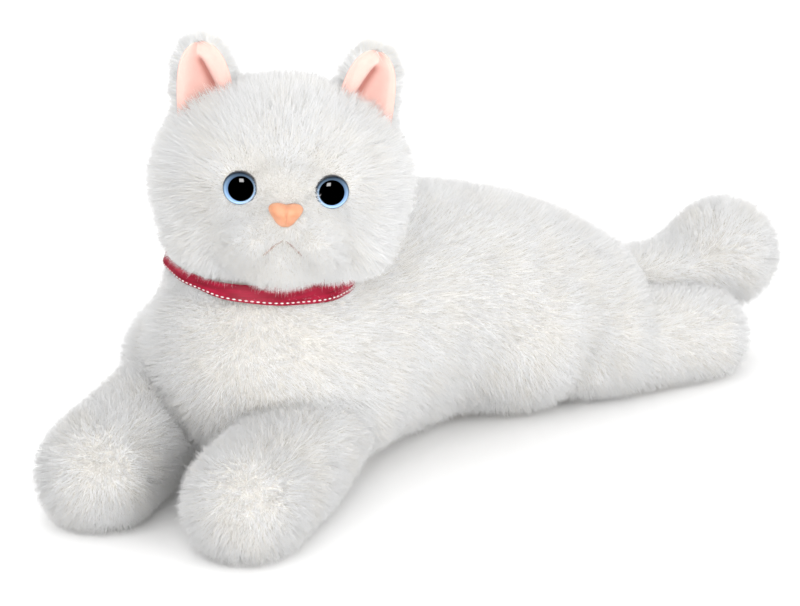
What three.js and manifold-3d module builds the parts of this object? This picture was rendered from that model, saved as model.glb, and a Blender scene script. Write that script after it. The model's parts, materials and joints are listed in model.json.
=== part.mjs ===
// A plush cat lying prone with its forelegs forward and its hind legs and tail behind.
// Millimetres, +Z up. The cat faces -Y and its left side is +X; the floor is z = 0 and the
// origin is the middle of the footprint. The body bends gently towards the cat's left.
//
// Each fabric panel is a thin shell, each filling is the solid inside it. Limbs, head and tail
// end in a ball at their seam, and the torso is hollowed where those balls swing.

import * as THREE from 'three';
import { mergeVertices } from 'three/addons/utils/BufferGeometryUtils.js';
import Module from 'manifold-3d';

const wasm = await Module();
wasm.setup();

const DEG = Math.PI / 180;

// ---- driving dimensions ----

const PILE = 3.2;             // fabric with its pressed pile
const GAP = 0.3;              // between two pieces that touch
const SWING_GAP = 1.6;        // between a limb and the socket it swings in

const LIMB_SIDES = 10;
const TORSO_SIDES = 12;
const ROUND_SIDES = 16;       // eyes, nose and washers

// Stations along each soft part: x, y, z of the centre line and the outer radius.
const SPINE = [
  [-12, -98, 56, 48],
  [-12, -58, 60, 52],
  [-9, 2, 58, 52],
  [4, 52, 49, 46],
  [18, 84, 43, 34],
];
const BELLY = { centre: [-14, -26, 20], radii: [40, 70, 24] };
const NECK_ROOT = [
  [-8, -98, 66, 43],
  [-6.5, -105, 82, 38],
];
const PELLET_BAG = { centre: [-13, -14], radii: [20, 34, 9] };
const TORSO_SEAM = 16;        // height of the seam between side and belly panels
const SHOULDERS = [
  [6, -74, 37, 29],
  [-52, -94, 39, 29],
];
const HAUNCHES = [
  [18.5, 38, 40, 38],
  [-16.5, 46.5, 40, 38],
];

// Each limb starts at the ball in its socket. Positive turns swing it outwards.
const LIMBS = {
  foreleg_left: {
    stations: [[13, -96, 31, 26], [28, -130, 24, 24.5], [39, -164, 21.5, 24.5]],
    axis: [0, 0, 1],
    range: [-4, 18],
    seam: 13,
  },
  foreleg_right: {
    stations: [[-48, -115, 31, 26], [-42, -146, 24, 24.5], [-30, -180, 21.5, 24.5]],
    axis: [0, 0, -1],
    range: [-4, 18],
    seam: 13,
  },
  hindleg_left: {
    stations: [[35, 70, 26, 22], [48, 102, 20, 21], [61, 135, 19, 21]],
    axis: [0, 0, -1],
    range: [-2, 18],
    seam: 11,
  },
  hindleg_right: {
    stations: [[-14, 79, 26, 22], [-7, 113, 20, 21], [-1, 148, 19, 21]],
    axis: [0, 0, 1],
    range: [-2, 18],
    seam: 11,
  },
};
const TAIL = {
  stations: [[19, 96, 52, 14], [27, 120, 50, 15], [36, 147, 51, 20], [44, 177, 50, 26]],
  axis: [0.95, -0.31, 0],
  range: [0, 30],
  seam: 48,
};

// Neck: a short turning collar between torso and head.
const NECK = [-6.5, -106];           // x, y of its upright axis
const NECK_BOTTOM = 94;
const NECK_TOP = 103;
const CORE_RADIUS = 27;
const TAPE_WALL = 2.4;
const RIBBON_WALL = 1.2;
const RIBBON_RADIUS = 39;
const NECK_ROOM = { low: 43, high: 100, rise: 70 };
const NAPE_RADIUS = 36;
const NOD_PIVOT_Z = 114;
const NOD_DOWN = 5;
const NOD_UP = 12;

// Head, in its own frame: the face looks along -Y, the cat's left is +X.
const HEAD_CENTRE = [17.5, -117, 144];
const HEAD_TURN = 45;
const HEAD_ROLL = 4;
const HEAD_RADII = [50, 43, 40];
const MUZZLE = { centre: [0, -33, -13], radii: [24, 17, 15] };
const PATCH = { half: 14, top: 12, bottom: -16, front: -20 };

const EYE = {
  x: 18, y: -39.5, z: 5, radius: 6.8, dome: 3.4, iris: 6.1, irisDepth: 0.8, pupil: 4.7, pupilDepth: 0.5,
  stem: 2, reach: 13, washer: 9,
};
const WASHER = { radius: 6, wall: 1.2, room: 3 };
const NOSE = {
  y: -49.5, z: -3.5, half: 6.6, height: 8.4, depth: 4.2, edge: 1, stem: 2, reach: 20, washer: 16,
};
const MOUTH = { y: -50.6, z: -13.5, span: 7, drop: 6, back: 1.6, thread: 0.5 };
const EAR = {
  x: 32, y: 2, z: 31, lean: 9, half: 13.5, height: 27, root: 8, wall: 5, range: 15, hem: 4, lining: 1.2,
};
const CHIN = { top: -22, back: 10 };
const GUSSET = { half: 10, low: -5 };

// ---- materials ----

const FINISH = {
  fur: { color: 0xf2f0ea, roughness: 0.95, metalness: 0 },
  sheared_fur: { color: 0xf3ead9, roughness: 0.95, metalness: 0 },
  stuffing: { color: 0xf6f6f4, roughness: 1, metalness: 0 },
  pellets: { color: 0xd9d6cc, roughness: 0.9, metalness: 0 },
  ear_lining: { color: 0xf3c4ba, roughness: 0.7, metalness: 0 },
  ribbon: { color: 0xb8063c, roughness: 0.4, metalness: 0 },
  tape: { color: 0xe9e7e0, roughness: 0.9, metalness: 0 },
  eye_clear: { color: 0xe8f0f6, roughness: 0.05, metalness: 0 },
  eye_iris: { color: 0x8db4dc, roughness: 0.3, metalness: 0 },
  eye_pupil: { color: 0x050607, roughness: 0.15, metalness: 0 },
  plastic_white: { color: 0xdedede, roughness: 0.5, metalness: 0 },
  nose: { color: 0xf2a878, roughness: 0.4, metalness: 0 },
  thread: { color: 0xc99a94, roughness: 0.8, metalness: 0 },
};

// ---- solids ----

function solid(geometry) {
  const bare = geometry.clone();
  bare.deleteAttribute('normal');
  bare.deleteAttribute('uv');
  const merged = mergeVertices(bare, 1e-4);
  return new wasm.Manifold(new wasm.Mesh({
    numProp: 3,
    vertProperties: new Float32Array(merged.attributes.position.array),
    triVerts: new Uint32Array(merged.index.array),
  }));
}

function join(solids) {
  return solids.reduce((sum, next) => sum.add(next));
}

// The triangles of a solid, keeping only its largest body: a cut can leave crumbs.
function geometryOf(shape) {
  const mesh = shape.getMesh();
  const positions = mesh.vertProperties;
  const corners = mesh.triVerts;
  const parent = Array.from({ length: positions.length / mesh.numProp }, (_, i) => i);
  const root = (i) => {
    while (parent[i] !== i) i = parent[i] = parent[parent[i]];
    return i;
  };
  for (let t = 0; t < corners.length; t += 3) {
    parent[root(corners[t + 1])] = root(corners[t]);
    parent[root(corners[t + 2])] = root(corners[t]);
  }
  const count = new Map();
  for (let t = 0; t < corners.length; t += 3) {
    const body = root(corners[t]);
    count.set(body, (count.get(body) ?? 0) + 1);
  }
  const largest = [...count.entries()].sort((a, b) => b[1] - a[1])[0][0];
  const index = [];
  for (let t = 0; t < corners.length; t += 3) {
    if (root(corners[t]) === largest) index.push(corners[t], corners[t + 1], corners[t + 2]);
  }
  const out = new THREE.BufferGeometry();
  out.setAttribute('position', new THREE.BufferAttribute(new Float32Array(positions), 3));
  out.setIndex(index);
  return out;
}

function piece(name, shape, finish) {
  const geometry = shape.isBufferGeometry ? shape : geometryOf(shape);
  const mesh = new THREE.Mesh(geometry, new THREE.MeshStandardMaterial(FINISH[finish]));
  mesh.name = name;
  return mesh;
}

function ball(centre, radii, sides = TORSO_SIDES) {
  const sphere = new THREE.SphereGeometry(1, sides, Math.round(sides * 0.6));
  sphere.rotateX(Math.PI / 2);
  sphere.scale(radii[0], radii[1], radii[2]);
  sphere.translate(...centre);
  return sphere;
}

function box(low, high) {
  const size = high.map((value, i) => value - low[i]);
  const block = new THREE.BoxGeometry(...size);
  block.translate(...low.map((value, i) => value + size[i] / 2));
  return solid(block);
}

// A closed round body along a smooth line through the stations, with a dome at each end.
function soften(stations, shrink = 0, sides = LIMB_SIDES, steps = 1) {
  const line = new THREE.CatmullRomCurve3(stations.map(([x, y, z]) => new THREE.Vector3(x, y, z)));
  const girth = new THREE.SplineCurve(stations.map((s, i) => new THREE.Vector2(i, s[3] - shrink)));
  const rings = [];
  const last = (stations.length - 1) * steps;
  const domeTurns = [60, 30];
  const ring = (centre, tangent, radius) => rings.push({ centre, tangent, radius });
  const start = line.getPoint(0);
  const startWay = line.getTangent(0);
  const startRadius = girth.getPoint(0).y;
  for (const turn of domeTurns) {
    const back = startRadius * Math.sin(turn * DEG);
    ring(start.clone().addScaledVector(startWay, -back), startWay, startRadius * Math.cos(turn * DEG));
  }
  for (let i = 0; i <= last; i += 1) {
    ring(line.getPoint(i / last), line.getTangent(i / last), girth.getPoint(i / last).y);
  }
  const end = line.getPoint(1);
  const endWay = line.getTangent(1);
  const endRadius = girth.getPoint(1).y;
  for (const turn of [...domeTurns].reverse()) {
    const ahead = endRadius * Math.sin(turn * DEG);
    ring(end.clone().addScaledVector(endWay, ahead), endWay, endRadius * Math.cos(turn * DEG));
  }
  const points = [start.clone().addScaledVector(startWay, -startRadius)];
  for (const { centre, tangent, radius } of rings) {
    const side = new THREE.Vector3().crossVectors(tangent, new THREE.Vector3(0, 0, 1)).normalize();
    const top = new THREE.Vector3().crossVectors(side, tangent);
    for (let k = 0; k < sides; k += 1) {
      const turn = ((k + 0.5) / sides) * 2 * Math.PI;
      points.push(centre.clone()
        .addScaledVector(side, radius * Math.cos(turn))
        .addScaledVector(top, radius * Math.sin(turn)));
    }
  }
  points.push(end.clone().addScaledVector(endWay, endRadius));
  const index = [];
  const at = (r, k) => 1 + r * sides + (k % sides);
  for (let k = 0; k < sides; k += 1) {
    index.push(0, at(0, k), at(0, k + 1));
    for (let r = 0; r < rings.length - 1; r += 1) {
      index.push(at(r, k), at(r + 1, k), at(r + 1, k + 1));
      index.push(at(r, k), at(r + 1, k + 1), at(r, k + 1));
    }
    index.push(points.length - 1, at(rings.length - 1, k + 1), at(rings.length - 1, k));
  }
  const body = new THREE.BufferGeometry().setFromPoints(points);
  body.setIndex(index);
  return body;
}

const FAR = 400;

// Everything above a level, to rest a soft part flat.
function above(level) {
  return box([-FAR, -FAR, level], [FAR, FAR, FAR]);
}

function below(level) {
  return box([-FAR, -FAR, -FAR], [FAR, FAR, level]);
}

// A turn about a line through a point, as a matrix.
function turnAbout(point, axis, degrees) {
  const pivot = new THREE.Matrix4().makeTranslation(...point);
  const back = new THREE.Matrix4().makeTranslation(...point.map((value) => -value));
  const direction = new THREE.Vector3(...axis).normalize();
  const turn = new THREE.Matrix4().makeRotationAxis(direction, degrees * DEG);
  return pivot.multiply(turn).multiply(back);
}

// A cone that holds a limb's root at every turn of its joint.
function socket({ stations: [root, next], axis, range: [low, high] }) {
  const pivot = root.slice(0, 3);
  const halfWay = turnAbout(pivot, axis, (low + high) / 2);
  const middle = new THREE.Vector3(...next.slice(0, 3)).applyMatrix4(halfWay);
  const reach = middle.distanceTo(new THREE.Vector3(...pivot));
  const swing = reach * Math.sin(((high - low) / 2) * DEG);
  return solid(soften([
    [...pivot, root[3] + SWING_GAP],
    [...middle.toArray(), next[3] + SWING_GAP + swing],
  ]));
}

// ---- limbs and tail: an upper panel, a sole panel and the filling ----

// The half-space on the torso's side of a limb's socket ball, where the panels stop.
function behindRoot([first, second]) {
  const from = new THREE.Vector3(...first.slice(0, 3));
  const way = new THREE.Vector3(...second.slice(0, 3)).sub(from).normalize();
  const block = new THREE.BoxGeometry(FAR, FAR, FAR);
  block.translate(0, 0, -FAR / 2);
  block.applyQuaternion(new THREE.Quaternion().setFromUnitVectors(new THREE.Vector3(0, 0, 1), way));
  block.translate(from.x, from.y, from.z);
  return solid(block);
}

function limbPieces(name, { stations, seam }) {
  const outer = solid(soften(stations)).intersect(above(0));
  const inner = solid(soften(stations, PILE)).intersect(above(PILE));
  const filling = solid(soften(stations, PILE + GAP)).intersect(above(PILE + GAP));
  const skin = outer.subtract(inner).subtract(behindRoot(stations));
  return [
    piece(`${name}_upper_panel`, skin.intersect(above(seam + GAP / 2)), 'fur'),
    piece(`${name}_sole_panel`, skin.intersect(below(seam - GAP / 2)), 'fur'),
    piece(`${name}_stuffing`, filling, 'stuffing'),
  ];
}

// ---- torso ----

// The room over the neck seam, flaring outwards so that the head can nod and turn.
function neckRoom() {
  const low = NECK_BOTTOM - GAP;
  const high = low + NECK_ROOM.rise;
  const profile = [[0, low], [NECK_ROOM.low, low], [NECK_ROOM.high, high], [0, high]];
  const room = new THREE.LatheGeometry(profile.map(([r, z]) => new THREE.Vector2(r, z)), ROUND_SIDES);
  room.rotateX(Math.PI / 2);
  room.translate(NECK[0], NECK[1], 0);
  return solid(room);
}

function torsoBody(shrink) {
  return join([
    solid(soften(SPINE, shrink, TORSO_SIDES)),
    solid(soften(NECK_ROOT, shrink, TORSO_SIDES)),
    solid(ball(BELLY.centre, BELLY.radii.map((radius) => radius - shrink))),
    ...[...SHOULDERS, ...HAUNCHES].map(([x, y, z, r]) => {
      const radius = r - shrink;
      return solid(ball([x, y, z], [radius, radius, radius], LIMB_SIDES));
    }),
  ]).intersect(above(shrink)).subtract(neckRoom());
}

function torsoFilling(shrink) {
  const spine = solid(soften(SPINE, shrink, TORSO_SIDES));
  const belly = solid(ball(BELLY.centre, BELLY.radii.map((radius) => radius - shrink)));
  return spine.add(belly).intersect(above(shrink)).subtract(neckRoom());
}

function pelletBag(grow) {
  const [x, y] = PELLET_BAG.centre;
  const radii = PELLET_BAG.radii.map((radius) => radius + grow);
  return solid(ball([x, y, PILE], radii));
}

function torsoPieces() {
  const sockets = join([...Object.values(LIMBS), TAIL].map(socket));
  const skin = torsoBody(0).subtract(torsoBody(PILE)).subtract(sockets);
  const filling = torsoFilling(PILE + GAP).subtract(sockets).subtract(pelletBag(GAP));
  const midline = new THREE.CatmullRomCurve3(SPINE.map(([x, y]) => new THREE.Vector3(x, y, 0)));
  const outline = new THREE.Shape();
  outline.moveTo(-FAR, -FAR);
  outline.lineTo(midline.getPoint(0).x, -FAR);
  for (const { x, y } of midline.getPoints(SPINE.length - 1)) outline.lineTo(x, y);
  outline.lineTo(midline.getPoint(1).x, FAR);
  outline.lineTo(-FAR, FAR);
  const slab = new THREE.ExtrudeGeometry(outline, { depth: FAR, bevelEnabled: false, steps: 1 });
  slab.translate(0, 0, -1);
  const nudged = slab.clone().translate(GAP, 0, 0);
  const sides = skin.intersect(above(TORSO_SEAM + GAP / 2));
  return [
    piece('torso_left_panel', sides.subtract(solid(nudged)), 'fur'),
    piece('torso_right_panel', sides.intersect(solid(slab)), 'fur'),
    piece('belly_panel', skin.intersect(below(TORSO_SEAM - GAP / 2)), 'fur'),
    piece('torso_stuffing', filling, 'stuffing'),
    piece('belly_pellet_bag', pelletBag(0).intersect(torsoFilling(PILE + GAP)), 'pellets'),
  ];
}

// ---- neck ----

function ring(inner, wall, low, high) {
  const profile = [
    [inner, low],
    [inner + wall, low],
    [inner + wall, high],
    [inner, high],
    [inner, low],
  ].map(([r, z]) => new THREE.Vector2(r, z));
  const band = new THREE.LatheGeometry(profile, ROUND_SIDES);
  band.rotateX(Math.PI / 2);
  band.translate(NECK[0], NECK[1], 0);
  return band;
}

function neckPieces() {
  const [x, y] = NECK;
  const radii = [CORE_RADIUS, CORE_RADIUS, CORE_RADIUS];
  const core = solid(ball([x, y, NOD_PIVOT_Z], radii)).intersect(above(NECK_BOTTOM));
  const tapeRadius = CORE_RADIUS + GAP;
  const panelRadius = tapeRadius + TAPE_WALL + GAP;
  const panelWall = RIBBON_RADIUS - GAP - panelRadius;
  return [
    piece('neck_core', core, 'stuffing'),
    piece('neck_seam_tape', solid(ring(tapeRadius, TAPE_WALL, NECK_BOTTOM, NECK_TOP - 1)), 'tape'),
    piece('neck_panel', solid(ring(panelRadius, panelWall, NECK_BOTTOM, NECK_TOP)), 'fur'),
    piece('collar_ribbon', solid(ring(RIBBON_RADIUS, RIBBON_WALL, NECK_BOTTOM, NECK_TOP)), 'ribbon'),
  ];
}

// ---- head, modelled in its own frame ----

const head = new THREE.Group();
head.position.set(...HEAD_CENTRE);
head.rotation.set(0, HEAD_ROLL * DEG, HEAD_TURN * DEG, 'ZYX');
head.updateMatrixWorld();

// What the head must stay clear of as it nods: the neck core, and all below the collar's top.
function headClearance() {
  const toHead = head.matrixWorld.clone().invert();
  const pivot = [NECK[0], NECK[1], NOD_PIVOT_Z];
  const across = [Math.cos(HEAD_TURN * DEG), Math.sin(HEAD_TURN * DEG), 0];
  const radius = CORE_RADIUS + SWING_GAP;
  const core = ball(pivot, [radius, radius, radius]).applyMatrix4(toHead);
  const floors = [-NOD_DOWN - 1, NOD_UP + 1].map((turn) => {
    const block = new THREE.BoxGeometry(FAR, FAR, 100);
    block.translate(pivot[0], pivot[1], NECK_TOP + SWING_GAP - 50);
    return solid(block.applyMatrix4(turnAbout(pivot, across, turn)).applyMatrix4(toHead));
  });
  return join([solid(core), ...floors]);
}

function headBody(shrink) {
  const nape = NAPE_RADIUS - shrink;
  const toHead = head.matrixWorld.clone().invert();
  return join([
    solid(ball([0, 0, 0], HEAD_RADII.map((radius) => radius - shrink), ROUND_SIDES)),
    solid(ball(MUZZLE.centre, MUZZLE.radii.map((radius) => radius - shrink), LIMB_SIDES)),
    solid(ball([...NECK, NOD_PIVOT_Z], [nape, nape, nape]).applyMatrix4(toHead)),
  ]);
}

function rod(radius, from, to, x, z, sides = 10) {
  const bar = new THREE.CylinderGeometry(radius, radius, to - from, sides);
  bar.translate(0, (from + to) / 2, 0);
  bar.translate(x, 0, z);
  return solid(bar);
}

// A rounded triangle standing on its root, which goes down into the head.
function earOutline(half, height, root) {
  const outline = new THREE.Shape();
  outline.moveTo(-half, -root);
  outline.bezierCurveTo(-half, height * 0.5, -half * 0.55, height * 0.95, 0, height);
  outline.bezierCurveTo(half * 0.55, height * 0.95, half, height * 0.5, half, -root);
  return outline;
}

function earLayer(half, height, front, back, root = EAR.root) {
  const flap = new THREE.ExtrudeGeometry(earOutline(half, height, root), {
    depth: back - front, bevelEnabled: false, steps: 1, curveSegments: 6,
  });
  flap.translate(0, 0, -back);
  flap.rotateX(Math.PI / 2);
  return flap;
}

function earPlace(side) {
  const place = new THREE.Matrix4().makeTranslation(side * EAR.x, EAR.y, EAR.z);
  return place.multiply(new THREE.Matrix4().makeRotationY(side * EAR.lean * DEG));
}

// All the room an ear's root needs as it folds.
function earSweep(side) {
  const deep = EAR.wall / 2 + SWING_GAP;
  const layer = earLayer(EAR.half + SWING_GAP, EAR.height, -deep, deep, EAR.root + SWING_GAP);
  return join([-EAR.range - 1, 0, EAR.range + 1].map((turn) => {
    const swung = layer.clone().applyMatrix4(new THREE.Matrix4().makeRotationX(turn * DEG));
    return solid(swung.applyMatrix4(earPlace(side)));
  }));
}

function earPieces(name, side) {
  const front = -EAR.wall / 2;
  const half = EAR.half - EAR.hem;
  const height = EAR.height - EAR.hem;
  const lining = earLayer(half, height, front, front + EAR.lining).applyMatrix4(earPlace(side));
  const pocket = earLayer(half + GAP, height + GAP, front - 1, front + EAR.lining + GAP);
  const back = solid(earLayer(EAR.half, EAR.height, front, EAR.wall / 2).applyMatrix4(earPlace(side)));
  return [
    piece(`${name}_back`, back.subtract(solid(pocket.applyMatrix4(earPlace(side)))), 'fur'),
    piece(`${name}_lining`, solid(lining), 'ear_lining'),
  ];
}

function washer(x, z, from, stem) {
  const to = from + WASHER.wall;
  return rod(WASHER.radius, from, to, x, z, ROUND_SIDES).subtract(rod(stem + GAP, from - 1, to + 1, x, z));
}

function eyePieces(name, side) {
  const x = side * EYE.x;
  const face = EYE.y;
  const dome = solid(ball([x, face, EYE.z], [EYE.radius, EYE.dome, EYE.radius], ROUND_SIDES));
  const bowl = dome.intersect(box([-FAR, -FAR, -FAR], [FAR, face, FAR]));
  const fit = GAP / 2;
  const irisFront = face - EYE.irisDepth;
  const pupilFront = irisFront - GAP - EYE.pupilDepth;
  const iris = rod(EYE.iris, irisFront, face, x, EYE.z, ROUND_SIDES);
  const pupil = rod(EYE.pupil, pupilFront, irisFront - GAP, x, EYE.z, ROUND_SIDES);
  const room = rod(EYE.iris + fit, irisFront - fit, face + 1, x, EYE.z, ROUND_SIDES)
    .add(rod(EYE.pupil + fit, pupilFront - fit, face + 1, x, EYE.z, ROUND_SIDES));
  const stem = rod(EYE.radius, face + GAP, face + GAP + 1, x, EYE.z, ROUND_SIDES)
    .add(rod(EYE.stem, face + GAP, face + EYE.reach, x, EYE.z));
  return [
    piece(`${name}_dome`, bowl.subtract(room), 'eye_clear'),
    piece(`${name}_iris`, iris, 'eye_iris'),
    piece(`${name}_pupil`, pupil, 'eye_pupil'),
    piece(`${name}_stem`, stem, 'plastic_white'),
    piece(`${name}_washer`, washer(x, EYE.z, face + EYE.washer, EYE.stem), 'plastic_white'),
  ];
}

function nosePieces() {
  const { y, z, half, height, depth, edge } = NOSE;
  const outline = new THREE.Shape();
  outline.moveTo(0, -height / 2);
  outline.bezierCurveTo(-half * 0.5, -height / 2, -half, height * 0.1, -half, height * 0.3);
  outline.bezierCurveTo(-half, height * 0.5, -half * 0.4, height / 2, 0, height * 0.38);
  outline.bezierCurveTo(half * 0.4, height / 2, half, height * 0.5, half, height * 0.3);
  outline.bezierCurveTo(half, height * 0.1, half * 0.5, -height / 2, 0, -height / 2);
  const button = new THREE.ExtrudeGeometry(outline, {
    depth: depth - 2 * edge, bevelEnabled: true, bevelThickness: edge, bevelSize: edge, bevelOffset: -edge,
    bevelSegments: 1, curveSegments: 4,
  });
  button.rotateX(Math.PI / 2);
  button.translate(0, y + depth - edge, z);
  const stem = rod(NOSE.stem, y + depth / 2, y + NOSE.reach, 0, z);
  return [
    piece('nose', solid(button).add(stem), 'nose'),
    piece('nose_washer', washer(0, z, y + NOSE.washer, NOSE.stem), 'plastic_white'),
  ];
}

function mouthThread() {
  const { y, z, span, drop, back, thread } = MOUTH;
  const arms = [-1, 1].map((side) => {
    const path = new THREE.LineCurve3(
      new THREE.Vector3(-side * thread * 0.3, y, z),
      new THREE.Vector3(side * span, y + back, z - drop),
    );
    const section = new THREE.Shape().absarc(0, 0, thread, 0, 2 * Math.PI);
    return solid(new THREE.ExtrudeGeometry(section, { extrudePath: path, steps: 1, curveSegments: 3 }));
  });
  return join(arms);
}

function headPieces() {
  const clearance = headClearance();
  const eyes = { eye_left: 1, eye_right: -1 };
  const eyeHoles = Object.values(eyes).flatMap((side) => [
    rod(EYE.radius + GAP, -FAR, EYE.y + 1.6 + GAP, side * EYE.x, EYE.z, ROUND_SIDES),
    rod(EYE.stem + GAP, -FAR, EYE.y + EYE.reach + GAP, side * EYE.x, EYE.z),
  ]);
  const washers = [
    ...Object.values(eyes).map((side) => [side * EYE.x, EYE.z, EYE.y + EYE.washer]),
    [0, NOSE.z, NOSE.y + NOSE.washer],
  ];
  const washerRooms = washers.map(([x, z, y]) => (
    rod(WASHER.radius + GAP, y - WASHER.room, y + WASHER.wall + WASHER.room, x, z, ROUND_SIDES)));
  const noseRoom = rod(NOSE.half + 2, -FAR, NOSE.y + NOSE.depth + 0.6, 0, NOSE.z, ROUND_SIDES)
    .add(rod(NOSE.stem + GAP, -FAR, NOSE.y + NOSE.reach + 1, 0, NOSE.z));
  const mouthRoom = box(
    [-MOUTH.span - 2, -FAR, MOUTH.z - MOUTH.drop - 2],
    [MOUTH.span + 2, MOUTH.y + MOUTH.back + 1, MOUTH.z + 2],
  );
  const ears = join([earSweep(1), earSweep(-1)]);
  const cuts = join([clearance, ...eyeHoles, noseRoom, mouthRoom, ears]);
  const skin = headBody(0).subtract(headBody(PILE)).subtract(cuts);
  const filling = headBody(PILE + GAP).subtract(join([cuts, ...washerRooms]));
  const patch = box([-PATCH.half, -FAR, PATCH.bottom], [PATCH.half, PATCH.front, PATCH.top]);
  const aroundPatch = box(
    [-PATCH.half - GAP, -FAR, PATCH.bottom - GAP],
    [PATCH.half + GAP, PATCH.front + GAP, PATCH.top + GAP],
  );
  const gusset = box([-GUSSET.half, -FAR, GUSSET.low], [GUSSET.half, FAR, FAR]);
  const aroundGusset = box([-GUSSET.half - GAP, -FAR, GUSSET.low - GAP], [GUSSET.half + GAP, FAR, FAR]);
  const chin = box([-FAR, -FAR, -FAR], [FAR, CHIN.back, CHIN.top]);
  const aroundChin = box([-FAR, -FAR, -FAR], [FAR, CHIN.back + GAP, CHIN.top + GAP]);
  const rest = skin.subtract(aroundPatch).subtract(aroundGusset).subtract(aroundChin);
  const left = box([GAP / 2, -FAR, -FAR], [FAR, FAR, FAR]);
  const right = box([-FAR, -FAR, -FAR], [-GAP / 2, FAR, FAR]);
  return [
    piece('head_left_panel', rest.intersect(left), 'fur'),
    piece('head_right_panel', rest.intersect(right), 'fur'),
    piece('crown_gusset', skin.intersect(gusset).subtract(aroundPatch), 'fur'),
    piece('muzzle_patch', skin.intersect(patch), 'sheared_fur'),
    piece('chin_panel', skin.intersect(chin).subtract(aroundPatch), 'fur'),
    piece('head_stuffing', filling, 'stuffing'),
    ...nosePieces(),
    piece('mouth_thread', mouthThread(), 'thread'),
    ...Object.entries(eyes).flatMap(([name, side]) => eyePieces(name, side)),
    ...earPieces('ear_left', 1),
    ...earPieces('ear_right', -1),
  ];
}

// ---- the whole cat ----

const cat = new THREE.Group();
cat.add(...torsoPieces(), ...neckPieces());
for (const [name, limb] of Object.entries(LIMBS)) {
  cat.add(...limbPieces(name, limb));
}
cat.add(...limbPieces('tail', TAIL));
head.add(...headPieces());
cat.add(head);

export default cat;
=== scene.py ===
"""A lying long-pile plush cat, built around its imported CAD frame. Metres, +Z up, the cat faces -Y.

Every soft part is a stuffed skin, swollen by a short cloth simulation between its pinned seams.
The pile is real geometry: thin three-sided hairs that stand on the skins, combed and clumped.
"""

import json
import math

import bmesh
import bpy
import numpy as np
from mathutils import Matrix, Vector
from mathutils.bvhtree import BVHTree


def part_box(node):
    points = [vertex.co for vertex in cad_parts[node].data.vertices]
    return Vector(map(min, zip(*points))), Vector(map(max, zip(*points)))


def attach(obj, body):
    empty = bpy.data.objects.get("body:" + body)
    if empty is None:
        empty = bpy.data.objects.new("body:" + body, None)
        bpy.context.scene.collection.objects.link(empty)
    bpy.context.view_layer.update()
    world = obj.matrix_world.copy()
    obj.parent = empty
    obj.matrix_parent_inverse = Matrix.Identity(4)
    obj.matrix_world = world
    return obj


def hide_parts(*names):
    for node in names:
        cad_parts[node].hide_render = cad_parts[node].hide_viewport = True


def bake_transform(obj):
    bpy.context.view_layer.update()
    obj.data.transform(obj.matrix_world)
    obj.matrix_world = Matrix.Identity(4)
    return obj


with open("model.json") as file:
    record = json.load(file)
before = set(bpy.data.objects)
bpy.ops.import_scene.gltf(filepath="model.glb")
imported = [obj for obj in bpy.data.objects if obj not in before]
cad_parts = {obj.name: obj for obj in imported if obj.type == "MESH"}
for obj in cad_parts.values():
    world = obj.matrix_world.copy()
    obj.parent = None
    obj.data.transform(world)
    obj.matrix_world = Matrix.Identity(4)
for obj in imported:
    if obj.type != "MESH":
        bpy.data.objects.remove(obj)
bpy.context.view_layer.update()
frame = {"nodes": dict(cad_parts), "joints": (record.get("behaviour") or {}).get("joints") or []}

# ---- driving sizes ----

PRESSED = 0.0016              # the skin lies this far inside the CAD panel's face
FLOOR_CLEARANCE = 0.0025      # the skins rest on their own pressed pile
VOXEL = 0.0045
TORSO_PILE = 0.0064           # lengths of the pile
LIMB_PILE = 0.0060
TAIL_PILE = 0.0072
EAR_PILE = 0.0062
NECK_PILE = 0.0060
FLOOR_SIDE = 40.0
SWELL_FRAMES = 20
SWELL = 0.003                 # the most that a panel swells between its seams

# Stations along each soft part: x, y, z of the centre line and the radius of the CAD panel.
SPINE = [
    (-0.012, -0.098, 0.056, 0.048),
    (-0.012, -0.058, 0.060, 0.052),
    (-0.009, 0.002, 0.058, 0.052),
    (0.004, 0.052, 0.049, 0.046),
    (0.018, 0.084, 0.043, 0.034),
]
NECK_ROOT = [
    (-0.008, -0.098, 0.066, 0.0445),
    (-0.0065, -0.105, 0.082, 0.038),
]
BELLY = ((-0.018, -0.026, 0.022), (0.034, 0.062, 0.022))
SHOULDERS = [(0.006, -0.074, 0.037, 0.029), (-0.055, -0.097, 0.042, 0.031)]
HAUNCHES = [
    (0.0185, 0.038, 0.040, 0.038),
    (-0.0165, 0.0465, 0.040, 0.038),
    (0.041, 0.081, 0.028, 0.0265),
]
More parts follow.
